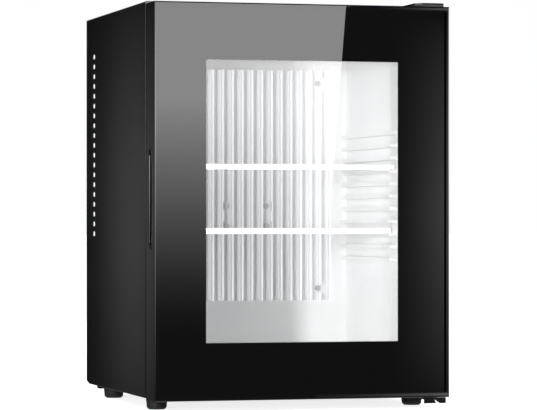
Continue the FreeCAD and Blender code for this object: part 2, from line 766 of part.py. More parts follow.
def top_plate_outline():
    """Outline of the top hinge plate, with its left front corner cut back."""
    x1 = half - TOP_PLATE_SIDE_MARGIN
    x0 = x1 - TOP_PLATE_WIDTH
    y0 = door_front + TOP_PLATE_FRONT
    y1 = cabinet_front + TOP_PLATE_SOLE
    b, c = TOP_PLATE_BEVEL, TOP_PLATE_CORNER
    z = cabinet_top
    return [V(x0 + b, y0, z), V(x1 - c, y0, z), V(x1, y0 + c, z),
            V(x1, y1, z), V(x0, y1, z), V(x0, y0 + b, z)]


def top_screw_places():
    """Places of the screws of the top hinge plate."""
    x1 = half - TOP_PLATE_SIDE_MARGIN - HINGE_SCREW_MARGIN
    x0 = x1 - TOP_PLATE_WIDTH + 2 * HINGE_SCREW_MARGIN
    y1 = cabinet_front + TOP_PLATE_SOLE - HINGE_SCREW_MARGIN
    z = cabinet_top + TOP_PLATE_THICKNESS
    return [V(x0, y1, z), V(x1, y1, z), V((x0 + x1) / 2, y1 - 2 * HINGE_SCREW_MARGIN, z)]


def top_hinge_screws():
    """Flush screws of the top hinge plate."""
    return Part.makeCompound([
        flush_screw(p, V(0, 0, -1), HINGE_SCREW_DIAMETER, HINGE_SCREW_HEAD, HINGE_SCREW_LENGTH)
        for p in top_screw_places()])


def top_hinge_plate():
    """Plate on the cabinet top that reaches over the door to the upper pin."""
    plate = prism(top_plate_outline(), V(0, 0, TOP_PLATE_THICKNESS))
    return plate.cut(top_hinge_pin()).cut(top_hinge_screws())


def top_hinge_pin():
    """Upper pin, riveted in the plate and hanging into the door."""
    top = cabinet_top + TOP_PLATE_THICKNESS
    return rod(pin_radius, top - door_top + HINGE_PIN_REACH, V(hinge_x, hinge_y, top), V(0, 0, -1))


def bottom_hinge_pin():
    """Lower pin, riveted in the bracket's tongue and standing up into the door."""
    low = tongue_top - BRACKET_PLATE
    return rod(pin_radius, door_bottom - low + HINGE_PIN_REACH, V(hinge_x, hinge_y, low), V(0, 0, 1))


def bottom_screw_places():
    """Places of the two screws of the bottom hinge bracket."""
    x1 = half - BRACKET_SIDE_MARGIN - HINGE_SCREW_MARGIN
    y1 = cabinet_front + BRACKET_LENGTH - HINGE_SCREW_MARGIN
    return [V(x1, y1, bracket_bottom), V(x1 - BRACKET_WIDTH + 2 * HINGE_SCREW_MARGIN, y1, bracket_bottom)]


def bottom_hinge_screws():
    """Flush screws of the bottom hinge bracket."""
    return Part.makeCompound([
        flush_screw(p, V(0, 0, 1), HINGE_SCREW_DIAMETER, HINGE_SCREW_HEAD, HINGE_SCREW_LENGTH)
        for p in bottom_screw_places()])


def bottom_hinge_bracket():
    """Stepped plate: sole under the cabinet, tongue under the door, and a notched front lip."""
    x1 = half - BRACKET_SIDE_MARGIN
    t = BRACKET_PLATE
    y_tip = door_front + BRACKET_FRONT
    y_step = cabinet_front + t
    y_end = cabinet_front + BRACKET_LENGTH
    tongue_bottom = tongue_top - t
    lip_bottom = tongue_bottom - BRACKET_LIP
    sole = box(x1 - BRACKET_WIDTH, x1, cabinet_front, y_end, bracket_bottom, bracket_top)
    x0 = x1 - BRACKET_TONGUE_WIDTH
    profile = [V(x0, y_tip, lip_bottom), V(x0, y_tip + t, lip_bottom), V(x0, y_tip + t, tongue_bottom),
               V(x0, y_step, tongue_bottom), V(x0, y_step, bracket_top), V(x0, cabinet_front, bracket_top),
               V(x0, cabinet_front, tongue_top), V(x0, y_tip, tongue_top)]
    tongue = prism(profile, V(BRACKET_TONGUE_WIDTH, 0, 0))
    n = BRACKET_NOTCH
    middle = x1 - BRACKET_NOTCH_MARGIN
    y, z = y_tip - OVERCUT, lip_bottom - OVERCUT
    notch = prism([V(middle - n / 2, y, z), V(middle + n / 2, y, z), V(middle - n, y, tongue_bottom)],
                  V(0, t + 2 * OVERCUT, 0))
    bracket = sole.fuse(tongue).removeSplitter().cut(notch)
    return bracket.cut(bottom_hinge_pin()).cut(bottom_hinge_screws()).cut(foot_studs())


def bush_body(start, axis):
    """Outside of a bush with its collar, which is also the cutter of its seat."""
    body = facet_rod(bush_radius, HINGE_PIN_REACH + BUSH_WALL, start, axis, BUSH_SIDES)
    collar = facet_rod(collar_radius, BUSH_COLLAR_DEPTH, start, axis, BUSH_SIDES)
    return body.fuse(collar).removeSplitter()


def bush_seats():
    """Cutters of both bush seats in the door."""
    return Part.makeCompound([bush_body(V(hinge_x, hinge_y, door_bottom), V(0, 0, 1)),
                              bush_body(V(hinge_x, hinge_y, door_top), V(0, 0, -1))])


def door_bush(end, outward):
    """Collared bush in one end of the door, open towards its pin."""
    axis = V(0, 0, -outward)
    start = V(hinge_x, hinge_y, end)
    bore = rod(pin_radius + HINGE_CLEARANCE, HINGE_PIN_REACH + BUSH_GAP, start, axis)
    return bush_body(start, axis).cut(bore)


def recess_cut():
    """Finger recess: straight behind, bowed in front, cut into the door's left side."""
    z0 = cabinet_bottom + RECESS_LEVEL - DOOR_DROP
    z1 = z0 + RECESS_HEIGHT
    x = -half - OVERCUT
    rear = door_front + RECESS_REAR_SETBACK
    end = door_front + RECESS_END_SETBACK
    bow = door_front + RECESS_BOW_SETBACK
    low, high = V(x, end, z0), V(x, end, z1)
    rear_low, rear_high = V(x, rear, z0 + RECESS_END_SLANT), V(x, rear, z1 - RECESS_END_SLANT)
    edges = [Part.Arc(low, V(x, bow, (z0 + z1) / 2), high).toShape(),
             Part.LineSegment(high, rear_high).toShape(),
             Part.LineSegment(rear_high, rear_low).toShape(),
             Part.LineSegment(rear_low, low).toShape()]
    return Part.Face(Part.Wire(edges)).extrude(V(RECESS_DEPTH + OVERCUT, 0, 0))


def door_frame(inserts):
    """Moulded door frame: front lip, seat of the glass, window opening and finger recess."""
    block = panel(half, door_bottom, door_top, door_front, door_back)
    front_edges = [e for e in block.Edges if max(v.Y for v in e.Vertexes) < door_front + 0.01]
    block = block.makeFillet(FRAME_ROUND, front_edges)
    seat = panel(half - FRAME_LIP, door_bottom + FRAME_LIP, door_top - FRAME_LIP,
                 door_front - OVERCUT, glass_back, GLASS_CORNER)
    opening = window_plate(FRAME_OPENING_OFFSET, glass_back - OVERCUT, door_back + OVERCUT)
    rebate = window_plate(FRAME_OPENING_OFFSET + TRIM_FLANGE, door_back - TRIM_FLANGE_THICKNESS,
                          door_back + OVERCUT)
    frame = block.cut(seat).cut(opening).cut(rebate)
    return frame.cut(recess_cut()).cut(inserts)


def door_glass():
    """Front pane, set in the frame with a groove round it."""
    inset = FRAME_LIP + GLASS_GROOVE
    return panel(half - inset, door_bottom + inset, door_top - inset, glass_front, glass_back, GLASS_CORNER)


def glass_spacer():
    """Spacer frame between the two panes."""
    outer = window_plate(SPACER_OFFSET + SPACER_WIDTH, glass_back, spacer_back)
    return outer.cut(window_plate(SPACER_OFFSET, glass_back, spacer_back))


def inner_glass():
    """Rear pane."""
    return window_plate(INNER_GLASS_OFFSET, spacer_back, inner_glass_back)


def inner_trim():
    """Frame that holds the rear pane, splayed towards the inside of the cabinet."""
    sleeve = window_plate(FRAME_OPENING_OFFSET, inner_glass_back, door_back)
    flange = window_plate(FRAME_OPENING_OFFSET + TRIM_FLANGE, door_back - TRIM_FLANGE_THICKNESS, door_back)
    splay = Part.makeLoft([window_outline(TRIM_FRONT_OFFSET, inner_glass_back),
                           window_outline(TRIM_REAR_OFFSET, door_back)], True, True)
    return sleeve.fuse(flange).removeSplitter().cut(splay)


def gasket_ring(inset, y0, y1):
    """One layer of the gasket, narrowed by an inset on both its edges."""
    outer = GASKET_MARGIN + inset
    inner = GASKET_MARGIN + GASKET_WIDTH - inset
    rings = [panel(half - m, cabinet_bottom + m, cabinet_top - m, y0, y1) for m in (outer, inner)]
    return rings[0].cut(rings[1])


def door_gasket():
    """Magnetic seal: foot on the door, narrow waist and a head that faces the cabinet."""
    y1 = door_back + GASKET_BASE
    y2 = y1 + GASKET_WAIST
    layers = [gasket_ring(0.0, door_back, y1), gasket_ring(GASKET_WAIST_INSET, y1, y2),
              gasket_ring(GASKET_HEAD_INSET, y2, cabinet_front - GASKET_GAP)]
    return layers[0].fuse(layers[1:]).removeSplitter()


def shelf_glass(setback, index):
    """Glass plate of one shelf, just above its ridges."""
    x = liner_half - SHELF_SIDE_GAP
    y0 = cabinet_front + setback + TRIM_WEB
    z0 = ridge_level(index) + SHELF_LIFT
    return box(-x, x, y0, cabinet_front + setback + shelf_length, z0, z0 + SHELF_GLASS)


def shelf_trim(setback, index):
    """White trim round the front edge of a shelf: full width above, between the ridges below."""
    x = liner_half - SHELF_SIDE_GAP
    low_x = liner_half - RIDGE_DEPTH - TRIM_RIDGE_GAP
    y0 = cabinet_front + setback
    z0 = ridge_level(index) + SHELF_LIFT
    upper = box(-x, x, y0, y0 + TRIM_DEPTH, z0, z0 + SHELF_GLASS + TRIM_OVER)
    lower = box(-low_x, low_x, y0, y0 + TRIM_DEPTH, z0 - TRIM_UNDER, z0)
    body = upper.fuse(lower).removeSplitter()
    return body.cut(shelf_glass(setback, index))


def light_housing():
    """Housing on the liner's ceiling, with the lens pocket and the dial's bore."""
    w = LIGHT_WIDTH / 2
    body = box(-w, w, light_y, light_y + LIGHT_DEPTH, liner_top - LIGHT_HEIGHT, liner_top)
    body = round_along(body, LIGHT_CORNER, V(0, 0, 1))
    bore = rod(DIAL_SHAFT / 2 + DIAL_SHAFT_CLEARANCE, DIAL_SHAFT_LENGTH + OVERCUT,
               V(DIAL_OFFSET, light_y, dial_z), V(0, 1, 0))
    return body.cut(light_lens()).cut(bore)


def light_lens():
    """Frosted lens let into the underside of the light housing."""
    y = light_y + LIGHT_DEPTH / 2
    z = liner_top - LIGHT_HEIGHT
    return box(-LENS_WIDTH / 2, LENS_WIDTH / 2, y - LENS_DEPTH / 2, y + LENS_DEPTH / 2, z, z + LENS_THICKNESS)


def thermostat_dial():
    """Small dial with a coin slot and a shaft that turns in the light housing."""
    back = light_y - DIAL_GAP
    centre = V(DIAL_OFFSET, back - DIAL_THICKNESS, dial_z)
    disc = rod(DIAL_DIAMETER / 2, DIAL_THICKNESS, centre, V(0, 1, 0))
    shaft = rod(DIAL_SHAFT / 2, DIAL_SHAFT_LENGTH + DIAL_GAP, V(DIAL_OFFSET, back, dial_z), V(0, 1, 0))
    slot = box(DIAL_OFFSET - DIAL_SLOT / 2, DIAL_OFFSET + DIAL_SLOT / 2, centre.y - OVERCUT,
               centre.y + DIAL_SLOT_DEPTH, dial_z - DIAL_DIAMETER, dial_z + DIAL_DIAMETER)
    return disc.fuse(shaft).removeSplitter().cut(slot)


def build():
    """All sub-parts by name."""
    pipes = heat_pipes()
    studs = foot_studs()
    core = Part.makeCompound([cold_block(), cooling_module(), hot_block()])
    screws = Part.makeCompound([cold_plate_screws(), studs, top_hinge_screws(), bottom_hinge_screws()])
    bushes = [door_bush(door_top, 1), door_bush(door_bottom, -1)]
    nodes = {
        "cabinet_shell": cabinet_shell().cut(screws),
        "base_pan": base_pan().cut(screws),
        "inner_liner": inner_liner(core, screws),
        "insulation_foam": insulation_foam(Part.makeCompound([core, screws])),
        "back_panel": back_panel(core),
        "cold_plate": cold_plate(),
        "cold_plate_screws": cold_plate_screws(),
        "cold_block": cold_block().cut(cold_plate_screws()),
        "cooling_module": cooling_module(),
        "hot_block": hot_block().cut(pipes),
        "heat_pipes": pipes,
        "radiator_fins": radiator_fins(),
        "radiator_brackets": radiator_brackets(),
        "power_supply": power_supply(),
        "power_inlet": power_inlet(),
        "rear_rail": rear_rail(),
        "top_hinge_plate": top_hinge_plate(),
        "top_hinge_pin": top_hinge_pin(),
        "top_hinge_screws": top_hinge_screws(),
        "bottom_hinge_bracket": bottom_hinge_bracket(),
        "bottom_hinge_pin": bottom_hinge_pin(),
        "bottom_hinge_screws": bottom_hinge_screws(),
        "light_housing": light_housing(),
        "light_lens": light_lens(),
        "thermostat_dial": thermostat_dial(),
        "door_frame": door_frame(bush_seats()),
        "door_glass": door_glass(),
        "glass_spacer": glass_spacer(),
        "inner_glass": inner_glass(),
        "inner_trim": inner_trim(),
        "door_gasket": door_gasket(),
        "top_door_bush": bushes[0],
        "bottom_door_bush": bushes[1],
        "upper_shelf_glass": shelf_glass(UPPER_SHELF_SETBACK, UPPER_SHELF_RIDGE_INDEX),
        "upper_shelf_trim": shelf_trim(UPPER_SHELF_SETBACK, UPPER_SHELF_RIDGE_INDEX),
        "lower_shelf_glass": shelf_glass(LOWER_SHELF_SETBACK, LOWER_SHELF_RIDGE_INDEX),
        "lower_shelf_trim": shelf_trim(LOWER_SHELF_SETBACK, LOWER_SHELF_RIDGE_INDEX),
    }
    for name, x, y, height in foot_places():
        nodes[name] = foot(x, y, height)
    return nodes


os.makedirs("parts", exist_ok=True)
for node, shape in build().items():
    shape.exportStep("parts/" + node + ".step")
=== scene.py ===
import math

import bmesh
import bpy
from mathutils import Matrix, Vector


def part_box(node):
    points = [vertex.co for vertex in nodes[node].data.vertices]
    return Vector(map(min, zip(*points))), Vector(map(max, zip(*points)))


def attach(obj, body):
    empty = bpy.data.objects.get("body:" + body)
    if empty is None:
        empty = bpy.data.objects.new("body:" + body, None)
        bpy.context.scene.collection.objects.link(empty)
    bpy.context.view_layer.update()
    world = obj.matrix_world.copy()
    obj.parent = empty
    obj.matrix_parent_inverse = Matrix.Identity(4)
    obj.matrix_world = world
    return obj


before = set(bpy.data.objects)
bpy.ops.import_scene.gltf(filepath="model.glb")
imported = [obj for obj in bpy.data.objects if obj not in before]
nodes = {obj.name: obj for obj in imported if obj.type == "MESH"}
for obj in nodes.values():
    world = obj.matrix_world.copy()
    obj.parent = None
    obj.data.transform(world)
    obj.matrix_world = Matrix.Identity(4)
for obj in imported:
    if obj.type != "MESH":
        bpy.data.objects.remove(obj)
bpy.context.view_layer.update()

# Photograph's frame and the camera fitted to it
PHOTO_WIDTH = 537
PHOTO_HEIGHT = 410
FOCAL_PX = 2875.0
HORIZON_PX = 223.5
CAMERA_TURN = math.radians(15.5)
CAMERA_PLACE = (-1.051, -3.828, 0.2444)
CAMERA_REACH = (0.05, 200.0)
SENSOR = 36.0

# Clear window in the front pane's black border, and the film of the border and the pane's rim
WINDOW_LEFT = -0.1323
WINDOW_RIGHT = 0.1289
WINDOW_LOW = 0.0891
WINDOW_HIGH = 0.4574
PRINT_PROUD = 0.00006
PRINT_DEPTH = 0.00016
RIM_COVER = 0.00004
RIM_WIDTH = 0.00025

# Bead between the pane and the frame's lip, and the dull seal at the bottom of that groove
LIP_WIDTH = 0.0045
BEAD_GAP = 0.00005
BEAD_DEPTH = 0.0025
SEAL_DEPTH = 0.0004

# Finger recess in the door's left side: its outline, the rounded rim and the satin lining
GRIP_LOW = 0.210
GRIP_HIGH = 0.344
GRIP_REAR = -0.178
GRIP_END = -0.195
GRIP_BOW = -0.204
GRIP_SLANT = 0.006
GRIP_CORNER = 0.004
GRIP_DEPTH = 0.0157
GRIP_RIM = 0.0014
GRIP_RIM_SIDES = 10
GRIP_LINING = 0.0003
GRIP_STEPS = 12

# Spacer under the top hinge plate, between it and the door's top
SPACER_CLEAR = 0.0006
SPACER_INSET = 0.0002
SPACER_BEVEL = 0.008
SPACER_CORNER = 0.004

# Grain of the finishes: depth of its relief, rounding of painted edges and how patches are drawn out
GRAIN_DEPTH = 0.0002
GRAIN_DETAIL = 2.0
PATCH_DETAIL = 4.0
PATCH_ROUGHNESS = 0.55
PAINT_ROUNDING = 0.0008
EXTRUDED = (12.0, 12.0, 0.4)

# Radians that the band texture turns per metre at a scale of 1
WAVE_RATE = 20.0

# Cold plate: pitch and share of its grooves, its upright streaks and the depth ahead of which its ribs'
# fronts are painted lighter as a highlight
GROOVE_PITCH = 0.00355
GROOVE_SHARE = 0.6
GROOVE_RELIEF = 0.15
STREAK_STRETCH = (12.0, 12.0, 0.02)
STREAK_SCALE = 60.0
RIB_HIGHLIGHT_Y = 0.0743
PLATE_DARK = (0.58, 0.585, 0.60)
PLATE_LIGHT = (0.74, 0.745, 0.755)
# Lighter colour of the ribs' fronts: a painted highlight
PLATE_FRONT_HIGHLIGHT = (0.93, 0.93, 0.93)
PLATE_ROUGH = (0.4, 0.5)
PLATE_METAL = 0.25

# Clear glass by tint
GLASS = {"pane": (0.986, 0.988, 0.99), "shelf_pane": (0.97, 0.985, 0.98)}
GLASS_IOR = 1.5
GLASS_PALER = 1.01
GLASS_PATCH = 14.0

# Finishes with patches: their two colours, range of roughness, density, and grain where they have one
MOTTLED = {
    "black_paint": dict(dark=(0.003, 0.003, 0.0034), light=(0.005, 0.005, 0.0054), rough=(0.09, 0.13),
                        scale=9.0, bump=0.02, bump_scale=500.0, rounding=PAINT_ROUNDING),
    "gloss_black": dict(dark=(0.0016, 0.0016, 0.002), light=(0.003, 0.003, 0.0034),
                        rough=(0.006, 0.018), scale=11.0),
    "grip_satin": dict(dark=(0.018, 0.018, 0.019), light=(0.028, 0.028, 0.029), rough=(0.35, 0.45),
                       scale=60.0, bump=0.08, bump_scale=1500.0),
    "white_liner": dict(dark=(0.865, 0.865, 0.865), light=(0.9, 0.9, 0.9), rough=(0.3, 0.4),
                        scale=6.0, bump=0.03, bump_scale=500.0),
    "white_trim": dict(dark=(0.9, 0.9, 0.9), light=(0.94, 0.94, 0.94), rough=(0.25, 0.35), scale=30.0),
    "lens": dict(dark=(0.9, 0.9, 0.88), light=(0.95, 0.95, 0.93), rough=(0.4, 0.5),
                 scale=40.0, bump=0.2),
    "extrusion": dict(dark=(0.72, 0.73, 0.75), light=(0.82, 0.83, 0.84), rough=(0.32, 0.45),
                      scale=60.0, metallic=1.0, stretch=EXTRUDED),
    "fin_sheet": dict(dark=(0.62, 0.63, 0.65), light=(0.74, 0.75, 0.76), rough=(0.3, 0.42),
                      scale=90.0, metallic=1.0),
    "copper": dict(dark=(0.60, 0.28, 0.16), light=(0.72, 0.36, 0.21), rough=(0.22, 0.38),
                   scale=30.0, metallic=1.0),
    "zinc": dict(dark=(0.42, 0.43, 0.45), light=(0.56, 0.57, 0.58), rough=(0.35, 0.5),
                 scale=45.0, metallic=1.0),
    "screw_steel": dict(dark=(0.45, 0.45, 0.46), light=(0.6, 0.6, 0.6), rough=(0.25, 0.4),
                        scale=400.0, metallic=1.0),
    "plate_screw": dict(dark=(0.32, 0.32, 0.33), light=(0.4, 0.4, 0.41), rough=(0.35, 0.45),
                        scale=400.0, metallic=0.4),
    "black_plastic": dict(dark=(0.012, 0.012, 0.012), light=(0.02, 0.02, 0.02), rough=(0.45, 0.6),
                          scale=60.0, bump=0.15, bump_scale=1500.0),
    "bush": dict(dark=(0.03, 0.03, 0.03), light=(0.045, 0.045, 0.045), rough=(0.4, 0.5), scale=100.0),
    "foam": dict(dark=(0.75, 0.68, 0.45), light=(0.82, 0.76, 0.55), rough=(0.8, 0.9),
                 scale=80.0, bump=0.4),
    "ceramic": dict(dark=(0.85, 0.85, 0.83), light=(0.9, 0.9, 0.88), rough=(0.5, 0.6), scale=200.0),
    "rubber": dict(dark=(0.007, 0.007, 0.007), light=(0.014, 0.014, 0.014), rough=(0.5, 0.65),
                   scale=120.0, bump=0.12, bump_scale=1800.0),
    "gasket": dict(dark=(0.012, 0.012, 0.012), light=(0.02, 0.02, 0.02), rough=(0.5, 0.6), scale=60.0),
}

# Smooth finishes: a dull sealant, and ink as glossy as the glass that it is fused to
TINTED = {
    "seal_black": dict(first=(0.0006, 0.0006, 0.0006), second=(0.0014, 0.0014, 0.0014), scale=60.0,
                       Roughness=0.8, Specular_IOR_Level=0.05),
    "print_black": dict(first=(0.0012, 0.0012, 0.0014), second=(0.002, 0.002, 0.0022), scale=20.0,
                        Roughness=0.0, IOR=GLASS_IOR),
}

# Finish of each construction node
FINISH = {
    "cabinet_shell": "black_paint", "base_pan": "black_paint", "rear_rail": "black_paint",
    "insulation_foam": "foam", "inner_liner": "white_liner", "back_panel": "zinc",
    "cold_plate": "plate", "cold_plate_screws": "plate_screw", "cold_block": "extrusion",
    "cooling_module": "ceramic", "hot_block": "extrusion", "heat_pipes": "copper",
    "radiator_fins": "fin_sheet", "radiator_brackets": "zinc", "power_supply": "black_plastic",
    "power_inlet": "black_plastic", "foot_front_left": "rubber", "foot_front_right": "rubber",
    "foot_rear_left": "rubber", "foot_rear_right": "rubber", "top_hinge_plate": "black_paint",
    "top_hinge_pin": "screw_steel", "top_hinge_screws": "screw_steel",
    "bottom_hinge_bracket": "black_paint", "bottom_hinge_pin": "screw_steel",
    "bottom_hinge_screws": "screw_steel", "light_housing": "white_trim", "light_lens": "lens",
    "door_frame": "gloss_black", "door_glass": "pane", "glass_spacer": "extrusion",
    "inner_glass": "pane", "inner_trim": "white_liner", "door_gasket": "gasket",
    "top_door_bush": "bush", "bottom_door_bush": "bush", "upper_shelf_glass": "shelf_pane",
    "upper_shelf_trim": "white_trim", "lower_shelf_glass": "shelf_pane",
    "lower_shelf_trim": "white_trim", "thermostat_dial": "white_trim",
}

# Ramps of a card's glow, each with its axis, dark end, bright end and power
EVEN = [("Z", 0.0, 1.0, 1.0)]

# Sheen that the front pane mirrors, with its leaning right edge
SHEEN_Y = -2.2
SHEEN_LEFT = -1.58
SHEEN_LOW = -0.6
SHEEN_EDGE = 0.611
SHEEN_LEAN = 0.081
SHEEN_TOP = 1.6
SHEEN_GLOW = 6.0
SHEEN_RAMPS = [("Z", 0.009, 0.494, 2.0)]

# Dark flag in front, with the faint glow that the pane's right edge mirrors on it
FLAG_Y = -2.9
FLAG_REACH = 9.0
FLAG_GLOW = 0.09
FRONT_GLOW = 1.0
FRONT_RAMPS = [("X", 0.974, 1.115, 1.8), ("Z", 0.72, 0.27, 0.75), ("Z", -0.17, 0.27, 0.8)]

# Flags are paler below the floor's level, as the floor is
FLAG_PALE = 0.3
PALE_RAMPS = [("Z", -0.8, -2.4, 1.0)]

# Bands that only the frame's lip mirrors, below and above the pane, brighter to the right: each with its
# glow, its start, full glow and end along X, the same along Z, and the power of its ramp along X
CARD_AHEAD = 0.01
BANDS = (
    ("foot_card", 2.6, (0.3, 1.12, 2.6), (-0.1462, -0.1485, -0.1528), 6.0),
    ("head_card", 1.7, (0.95, 1.12, 2.6), (0.7362, 0.738, 0.747), 1.5),
)

# Dark flag overhead and the soft card that the top mirrors, brightest in its middle
TOP_FLAG_Z = 3.0
TOP_DARK = 0.03
TOP_CARD_X = (-1.2, 0.0, 1.2)
TOP_CARD_Y = (0.3, 1.6, 3.2)
TOP_GLOW = 0.5

# Flags at the sides, dark in front and soft further back
SIDE_FLAG_X = 1.6
SIDE_FLAG_Y = (-4.0, 2.8, 24.0)
SIDE_DARK = 0.006
RIGHT_SOFT = 0.9
RIGHT_RAMPS = [("Y", -0.35, 0.5, 1.5), ("Z", -0.5, 0.35, 1.0)]
LEFT_SOFT = 0.5
LEFT_RAMPS = RIGHT_RAMPS + [("Y", 2.6, 1.5, 1.0)]

# Soft cards that the cabinet's glossy sides mirror: start, full glow, its end and the card's end, and the
# powers of the ramps below and above
SIDE_CARD_X = 0.5
SIDE_CARD_Y = (0.86, 1.22, 1.25, 1.51)
SIDE_CARD_Z = (-0.2, 0.2, 0.33, 0.68)
SIDE_CARD_POWERS = (0.8, 0.85)
SIDE_GLOW = 0.2

# Strips of soft light at the sides that the rounded edges mirror: start, full glow and end, and the
# powers of the ramps below and above
EDGE_CARD_Y = (-2.6, -0.5)
EDGE_CARD_Z = (-0.15, 0.44, 0.75)
EDGE_POWERS = (1.6, 0.5)
EDGE_GLOW = 11.5

# Colour of the even light, and the floor with the glow that lifts it to the pale ground
WORLD_SOFT = (0.62, 0.62, 0.63, 1.0)
WHITE = (1.0, 1.0, 1.0, 1.0)
FLOOR_COLOUR = (0.8, 0.8, 0.8, 1.0)
FLOOR_REACH = 60.0
FLOOR_LIFT = 0.8

# Lamps, each with its place, its target, its width and height, and its power
KEY_LAMP = ((-1.88, -2.66, 0.34), (0.0, 0.0, 0.27), (0.22, 0.4), 68.0)
FILL_LAMP = ((2.2, -1.6, 1.6), (0.0, 0.0, 0.25), (1.6, 1.6), 20.0)
RIM_LAMP = ((0.4, 2.6, 2.2), (0.0, 0.0, 0.3), (1.6, 1.2), 30.0)
STRIP_LAMP = ((-0.134, -0.14, 0.27), (0.148, -0.05, 0.27), (0.02, 0.38), 0.23)
STRIP_SPREAD = math.radians(95.0)
FOOT_LAMP = ((-0.06, -0.15, 0.16), (-0.1, 0.06, 0.07), (0.1, 0.02), 0.035)
FOOT_SPREAD = math.radians(110.0)
RAKE_LAMP = ((-2.08, -2.56, 0.6), (0.0, 0.08, 0.29), (0.2, 0.2), 92.0)

# Nodes that lamps treat by themselves
PLATE = ("cold_plate", "cold_plate_screws")
SHELF_TRIMS = ("upper_shelf_trim", "lower_shelf_trim")
CLEAR_PANES = ("door_glass", "inner_glass", "upper_shelf_glass", "lower_shelf_glass")


def new_material(name):
    """Empty node material with its shader and output."""
    mat = bpy.data.materials.new(name)
    mat.use_nodes = True
    tree = mat.node_tree
    shader = tree.nodes["Principled BSDF"]
    return mat, tree, shader


def set_inputs(shader, **values):
    """Set sockets by name, with underscores for spaces."""
    for key, value in values.items():
        shader.inputs[key.replace("_", " ")].default_value = value


def object_coords(tree, scale=(1.0, 1.0, 1.0)):
    """Object coordinates, stretched along the axes."""
    coords = tree.nodes.new("ShaderNodeTexCoord")
    mapping = tree.nodes.new("ShaderNodeMapping")
    mapping.inputs["Scale"].default_value = scale
    tree.links.new(coords.outputs["Object"], mapping.inputs["Vector"])
    return mapping.outputs["Vector"]


def noise(tree, vector, scale, detail=PATCH_DETAIL):
    """Noise factor along a vector."""
    node = tree.nodes.new("ShaderNodeTexNoise")
    node.inputs["Scale"].default_value = scale
    node.inputs["Detail"].default_value = detail
    node.inputs["Roughness"].default_value = PATCH_ROUGHNESS
    tree.links.new(vector, node.inputs["Vector"])
    return node.outputs["Fac"]


def remap(tree, value, low, high):
    """Factor spread over a new range."""
    node = tree.nodes.new("ShaderNodeMapRange")
    node.inputs["To Min"].default_value = low
    node.inputs["To Max"].default_value = high
    tree.links.new(value, node.inputs["Value"])
    return node.outputs["Result"]


def colour_mix(tree, factor, first, second):
    """Blend of two colours."""
    node = tree.nodes.new("ShaderNodeMix")
    node.data_type = "RGBA"
    node.inputs["A"].default_value = (*first, 1.0)
    node.inputs["B"].default_value = (*second, 1.0)
    tree.links.new(factor, node.inputs["Factor"])
    return node.outputs["Result"]


def maths(tree, operation, first, second):
    """Result of one operation on two sockets or numbers."""
    node = tree.nodes.new("ShaderNodeMath")
    node.operation = operation
    for socket, value in zip(node.inputs, (first, second)):
        if isinstance(value, bpy.types.NodeSocket):
            tree.links.new(value, socket)
        else:
            socket.default_value = value
    return node.outputs[0]


def add_bump(tree, shader, height, strength):
    """Fine relief on the shader's normal."""
    node = tree.nodes.new("ShaderNodeBump")
    node.inputs["Strength"].default_value = strength
    node.inputs["Distance"].default_value = GRAIN_DEPTH
    tree.links.new(height, node.inputs["Height"])
    tree.links.new(node.outputs["Normal"], shader.inputs["Normal"])
    return node


def mottled(name, dark, light, rough, scale, bump=0.0, bump_scale=900.0, metallic=0.0,
            stretch=(1.0, 1.0, 1.0), rounding=0.0):
    """Finish with a slight drift of colour and roughness, and grain and rounded edges if asked."""
    mat, tree, shader = new_material(name)
    vector = object_coords(tree, stretch)
    patch = noise(tree, vector, scale)
    tree.links.new(colour_mix(tree, patch, dark, light), shader.inputs["Base Color"])
    tree.links.new(remap(tree, patch, *rough), shader.inputs["Roughness"])
    set_inputs(shader, Metallic=metallic)
    if bump:
        relief = add_bump(tree, shader, noise(tree, vector, bump_scale, GRAIN_DETAIL), bump)
        if rounding:
            rounded = tree.nodes.new("ShaderNodeBevel")
            rounded.inputs["Radius"].default_value = rounding
            tree.links.new(rounded.outputs[0], relief.inputs["Normal"])
    return mat


def grooved(name, dark, light, front_highlight, rough):
    """Anodised extrusion with fine upright grooves and streaks, and a painted highlight: a lighter colour
    on the fronts of its ribs.
    """
    mat, tree, shader = new_material(name)
    streak = noise(tree, object_coords(tree, STREAK_STRETCH), STREAK_SCALE)
    wave = tree.nodes.new("ShaderNodeTexWave")
    wave.inputs["Scale"].default_value = 2.0 * math.pi / (WAVE_RATE * GROOVE_PITCH)
    tree.links.new(object_coords(tree), wave.inputs["Vector"])
    both = maths(tree, "ADD", maths(tree, "MULTIPLY", wave.outputs["Fac"], GROOVE_SHARE),
                 maths(tree, "MULTIPLY", streak, 1.0 - GROOVE_SHARE))
    split = tree.nodes.new("ShaderNodeSeparateXYZ")
    tree.links.new(object_coords(tree), split.inputs[0])
    # The ribs' fronts ahead of this depth take a lighter colour: a painted highlight
    edge = tree.nodes.new("ShaderNodeMix")
    edge.data_type = "RGBA"
    tree.links.new(maths(tree, "LESS_THAN", split.outputs["Y"], RIB_HIGHLIGHT_Y), edge.inputs["Factor"])
    tree.links.new(colour_mix(tree, both, dark, light), edge.inputs["A"])
    edge.inputs["B"].default_value = (*front_highlight, 1.0)
    tree.links.new(edge.outputs["Result"], shader.inputs["Base Color"])
    tree.links.new(remap(tree, streak, *rough), shader.inputs["Roughness"])
    set_inputs(shader, Metallic=PLATE_METAL)
    add_bump(tree, shader, wave.outputs["Fac"], GROOVE_RELIEF)
    return mat


def tinted(name, first, second, scale, **values):
    """Smooth finish with only a slight drift of colour."""
    mat, tree, shader = new_material(name)
    drift = noise(tree, object_coords(tree), scale)
    tree.links.new(colour_mix(tree, drift, first, second), shader.inputs["Base Color"])
    set_inputs(shader, **values)
    return mat


def glass(name, tint):
    """Clear float glass."""
    paler = tuple(min(1.0, channel * GLASS_PALER) for channel in tint)
    return tinted(name, tint, paler, GLASS_PATCH, Transmission_Weight=1.0, IOR=GLASS_IOR, Roughness=0.0)


